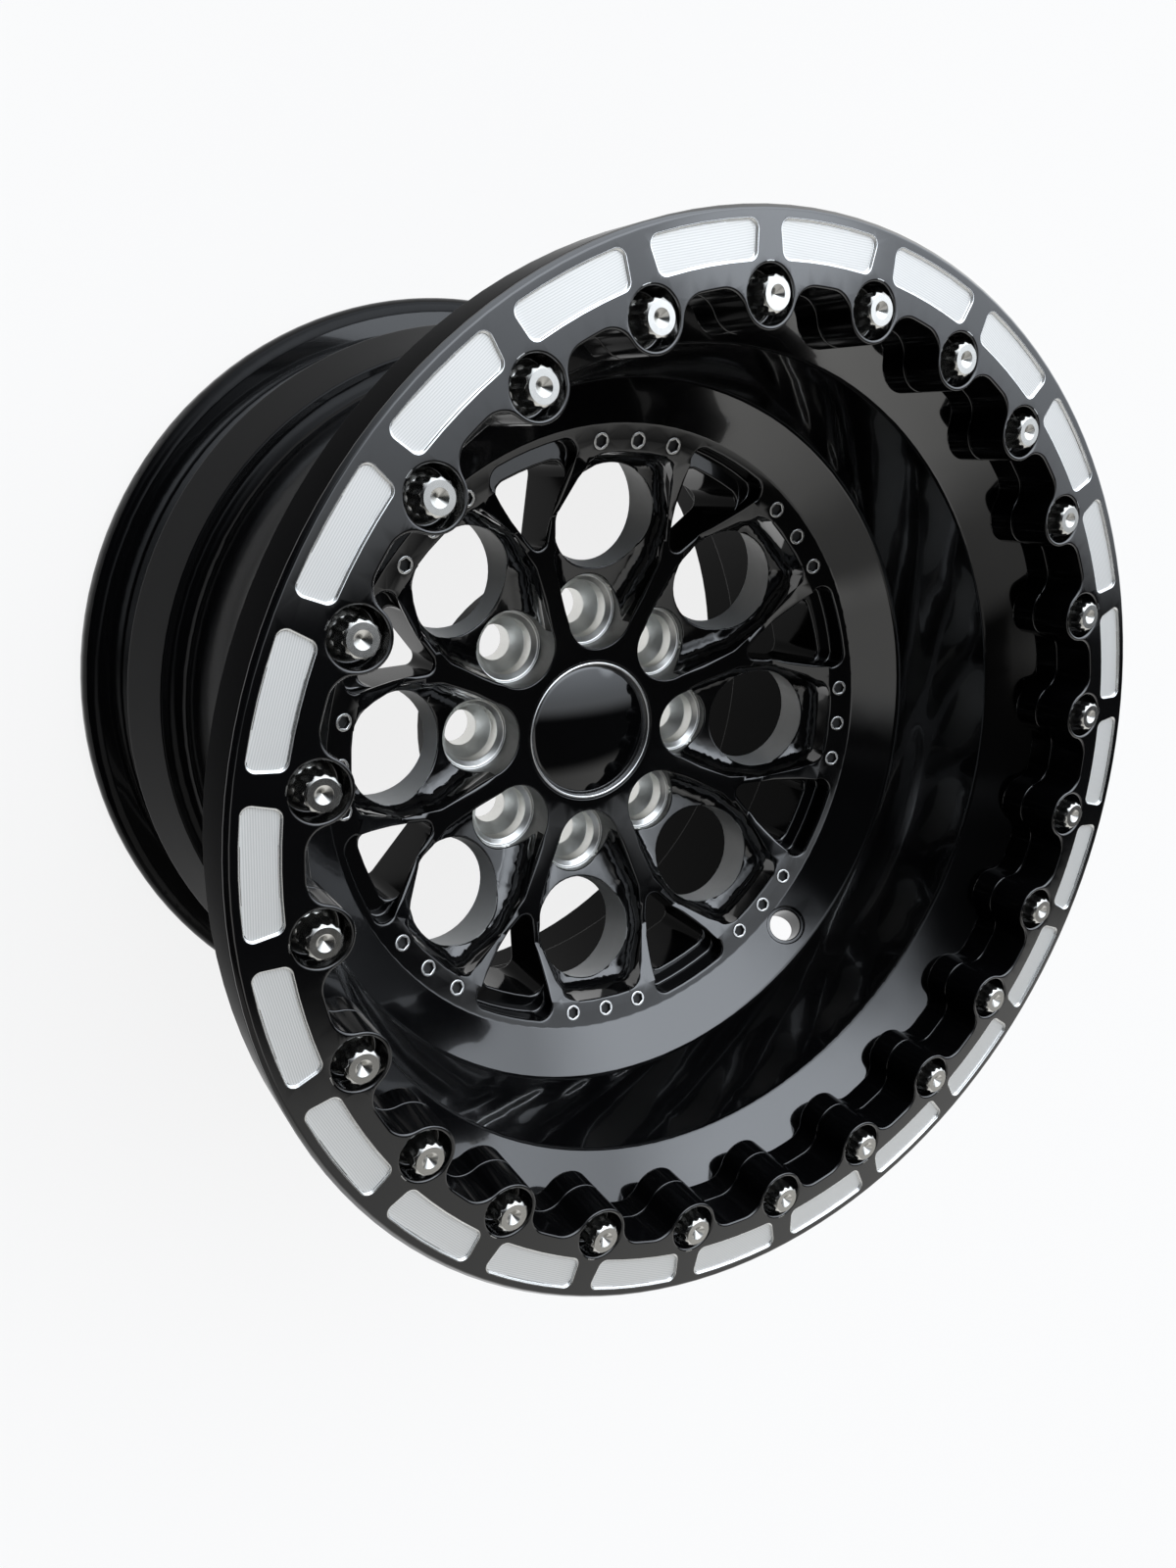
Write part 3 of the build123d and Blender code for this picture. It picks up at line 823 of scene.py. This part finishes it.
def twelve_point(angle):
    """Radius of the head's outline, a pair of hexagons a twelfth of a turn apart."""
    pitch = math.pi / 3
    apothem = head_radius * math.cos(pitch / 2)
    offsets = [(angle + turn) % pitch - pitch / 2 for turn in (0, pitch / 2)]
    return max(apothem / math.cos(offset) for offset in offsets)


def bolt_loops(centre_x, centre_y, turn):
    """Loops of one bolt, from the shank's end up to the head and down into its dimple."""
    angles = [2 * math.pi * k / bolt_sides for k in range(bolt_sides)]
    chamfer_height = (head_radius - head_flat_radius) * chamfer_rise
    body = [
        (shank_radius - edge_ease, bolt_low_z),
        (shank_radius, bolt_low_z + edge_ease),
        (shank_radius, flange_low_z),
        (flange_radius - edge_ease, flange_low_z),
        (flange_radius, flange_low_z + edge_ease),
        (flange_radius, flange_rim_z - edge_ease),
        (flange_radius - edge_ease, flange_rim_z),
        (head_radius + edge_ease, head_low_z),
    ]
    dimple = [
        (dimple_radius + dimple_ease, bolt_top_z),
        (dimple_radius - dimple_ease, bolt_top_z - dimple_ease),
        (dimple_tip_radius, bolt_top_z - dimple_depth),
    ]
    rows = [[(radius, z)] * bolt_sides for radius, z in body]
    rows.append([(twelve_point(a), head_low_z + edge_ease) for a in angles])
    for step in range(chamfer_steps + 1):
        drop = chamfer_height * (1 - step / chamfer_steps)
        limit = head_flat_radius + drop / chamfer_rise
        rows.append([(min(twelve_point(a), limit), bolt_top_z - drop) for a in angles])
    rows.extend([(radius, z)] * bolt_sides for radius, z in dimple)
    ways = [(math.cos(a + turn), math.sin(a + turn)) for a in angles]
    return [[(centre_x + r * c, centre_y + r * s, z) for (c, s), (r, z) in zip(ways, row)] for row in rows]


bolt_stacks = []
for k in range(bolt_count):
    angle = 2 * math.pi * (k + 0.5) / bolt_count
    place = bolt_centre_radius * math.cos(angle), bolt_centre_radius * math.sin(angle)
    bolt_stacks.append(bolt_loops(*place, angle))
bolt_mesh = stacked_mesh("beadlock_bolt_set", bolt_stacks)
bolts = new_piece("beadlock_bolt_set", bolt_mesh, "beadlock_bolts")
finish_by_place(bolts, [stainless], lambda centre, normal: stainless)
smooth_shading(bolts, bolt_shade_angle)

# Spoke rivets
rivet_roll = 0.3 * mm
# Zone of the painted shade: the socket in each rivet's head
socket_radius = 3.0 * mm
socket_high = rivet_proud - 0.15 * mm


def rivet_finish(centre, normal):
    """Painted shade: a near-black colour in the socket, a recess in the bright stud, and bright steel
    elsewhere.
    """
    height, gap = from_rivet(centre)
    return socket_painted_shade if gap < socket_radius and height < socket_high else bright_steel


rivet_mesh = RolledMesh("spoke_rivets", lambda place: rivet_roll).build("spoke_rivet_set")
rivets = new_piece("spoke_rivet_set", rivet_mesh, "spoke_rivets")
# The rivets' sockets get painted shade, a near-black colour in their recesses
finish_by_place(rivets, [bright_steel, socket_painted_shade], rivet_finish)
even_shading(rivets)

# Centre cap
cap_roll = 0.8 * mm
cap_mesh = RolledMesh("centre_cap", lambda place: cap_roll).build("cap_body")
cap = new_piece("cap_body", cap_mesh, "centre_cap")
finish_by_place(cap, [plated], lambda centre, normal: plated)
even_shading(cap)

# Cap dome, turned about the axle, with a higher crown than the solid's inside the same box
dome_sides = 128
dome_rings = 16
dome_rise = 3.4 * mm
dome_ease = 0.3 * mm
dome_radius = dome_high.x
dome_edge_z = dome_high.z - dome_rise
dome_curve = (dome_radius ** 2 + dome_rise ** 2) / (2 * dome_rise)
dome_profile = [
    (dome_radius - dome_ease, dome_low.z),
    (dome_radius, dome_low.z + dome_ease),
    (dome_radius, dome_edge_z - dome_ease),
]
for k in range(dome_rings):
    radius = (dome_radius - dome_ease) * (1 - k / dome_rings)
    dome_profile.append((radius, dome_high.z - dome_curve + math.sqrt(dome_curve ** 2 - radius ** 2)))
dome_angles = [2 * math.pi * k / dome_sides for k in range(dome_sides)]
dome_loops = [[(r * math.cos(a), r * math.sin(a), z) for a in dome_angles] for r, z in dome_profile]
dome = new_piece("dome_lens", stacked_mesh("dome_lens", [dome_loops]), "cap_dome")
finish_by_place(dome, [dome_black], lambda centre, normal: dome_black)
smooth_shading(dome, shade_angle)

# Cap spring, which keeps its CAD mesh
spring_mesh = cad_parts["cap_spring"].data
spring_mesh.materials.clear()
spring_mesh.materials.append(spring_steel)

# Stage: a white floor that keeps a little of the object's shadow
floor_half = 8.0
floor_grey = (0.8, 0.8, 0.8, 1)
floor_roughness = 0.9
floor_glow = 0.85
floor_corners = [(x * floor_half, y * floor_half, floor_z) for x, y in ((-1, -1), (1, -1), (1, 1), (-1, 1))]
floor_mesh = bpy.data.meshes.new("floor")
floor_mesh.from_pydata(floor_corners, [], [(0, 1, 2, 3)])
floor = bpy.data.objects.new("floor", floor_mesh)
bpy.context.scene.collection.objects.link(floor)
material, tree, shader = new_material("floor")
shader.inputs["Base Color"].default_value = floor_grey
shader.inputs["Roughness"].default_value = floor_roughness
glow = add_node(tree, "ShaderNodeEmission", Color=(1, 1, 1, 1), Strength=1.0)
path = add_node(tree, "ShaderNodeLightPath")
seen = sum_node(tree, "MAXIMUM", path.outputs["Is Camera Ray"], path.outputs["Is Glossy Ray"])
seen = sum_node(tree, "MAXIMUM", seen, path.outputs["Is Transmission Ray"])
mix = add_node(tree, "ShaderNodeMixShader")
tree.links.new(sum_node(tree, "MULTIPLY", seen, floor_glow), mix.inputs[0])
tree.links.new(shader.outputs[0], mix.inputs[1])
tree.links.new(glow.outputs[0], mix.inputs[2])
tree.links.new(mix.outputs[0], tree.nodes["Material Output"].inputs["Surface"])
floor_mesh.materials.append(material)

# World's sky, towards +Y: two soft steps up from its edge, a lamp and a spot, and less light to the left
sky_edge_lean = 0.0875
low_sky_light = 0.85
low_sky_fade = (-0.06, 0.05)
high_sky_light = 1.2
high_sky_fade = (0.0, 0.36)
lamp_light = 1.6
lamp_direction = (0.25, 0.66, 0.71)
lamp_reach = (0.82, 0.99)
spot_light = 1.6
spot_direction = (0.615, 0.19, 0.765)
spot_reach = (0.995, 0.9993)
left_fade = (-0.85, -0.1)

# World's ground, towards -Y, which grows to the right and lower down
ground_light = 0.37
ground_drift = 0.26
least_ground_light = 0.1
ground_fade = (-0.02, 0.12)
ground_height_lean = -0.5
ground_left_lean = -0.55
low_ground_light = 0.6
low_ground_fade = (0.35, 0.8)

# World's room: a dark place behind the camera, a side lamp and a little light from everywhere
room_light = 0.012
room_direction = (-0.49, 0.20, 0.85)
room_reach = (0.9, 0.98)
side_light = 0.65
side_direction = (-0.3, -0.4, 0.866)
side_reach = (0.94, 0.975)
ground_tint = (1.0, 0.995, 0.975)
sky_tint = (0.86, 0.92, 1.0)
tint_fade = (-0.4, 0.1)

world = bpy.data.worlds.new("studio")
bpy.context.scene.world = world
world.use_nodes = True
tree = world.node_tree
parts = add_node(tree, "ShaderNodeSeparateXYZ")
tree.links.new(add_node(tree, "ShaderNodeTexCoord").outputs["Generated"], parts.inputs[0])
x, y, z = parts.outputs["X"], parts.outputs["Y"], parts.outputs["Z"]
sky_edge = sum_node(tree, "MULTIPLY_ADD", z, sky_edge_lean, y)
sky = sum_node(tree, "MULTIPLY", fade(tree, sky_edge, *low_sky_fade), low_sky_light)
sky = sum_node(tree, "MULTIPLY_ADD", fade(tree, sky_edge, *high_sky_fade), high_sky_light, sky)
sky = sum_node(tree, "MULTIPLY_ADD", towards(tree, lamp_direction, lamp_reach), lamp_light, sky)
sky = sum_node(tree, "MULTIPLY_ADD", towards(tree, spot_direction, spot_reach), spot_light, sky)
sky = sum_node(tree, "MULTIPLY", sky, fade(tree, x, *left_fade))
clear_of_room = sum_node(tree, "SUBTRACT", 1.0, towards(tree, room_direction, room_reach))
sky = sum_node(tree, "MULTIPLY", sky, clear_of_room)
leftward = sum_node(tree, "MAXIMUM", sum_node(tree, "MULTIPLY", x, -1.0), 0.0)
lowness = sum_node(tree, "MULTIPLY", y, -1.0)
lowness = sum_node(tree, "MULTIPLY_ADD", z, ground_height_lean, lowness)
lowness = sum_node(tree, "MULTIPLY_ADD", leftward, ground_left_lean, lowness)
ground = sum_node(tree, "MULTIPLY_ADD", x, ground_drift, ground_light)
ground = sum_node(tree, "MAXIMUM", ground, least_ground_light)
ground = sum_node(tree, "MULTIPLY_ADD", fade(tree, lowness, *low_ground_fade), low_ground_light, ground)
light = sum_node(tree, "ADD", sky, room_light)
light = sum_node(tree, "MULTIPLY_ADD", towards(tree, side_direction, side_reach), side_light, light)
light = sum_node(tree, "MULTIPLY_ADD", fade(tree, lowness, *ground_fade), ground, light)
tree.links.new(light, tree.nodes["Background"].inputs["Strength"])
tint = blend_colours(tree, fade(tree, y, *tint_fade), ground_tint, sky_tint)
tree.links.new(tint, tree.nodes["Background"].inputs["Color"])

# Camera at the photo's place
camera = bpy.data.objects.new("camera", bpy.data.cameras.new("camera"))
bpy.context.scene.collection.objects.link(camera)
picture_back = picture_right.cross(-picture_down)
camera_turn = Matrix((picture_right, -picture_down, picture_back)).transposed().to_4x4()
camera.matrix_world = Matrix.Translation(camera_place) @ camera_turn
camera.data.lens = camera_lens
camera.data.sensor_width = camera_sensor
camera.data.clip_start = camera_near
camera.data.clip_end = camera_far
bpy.context.scene.camera = camera

bpy.context.scene.view_settings.view_transform = "Standard"
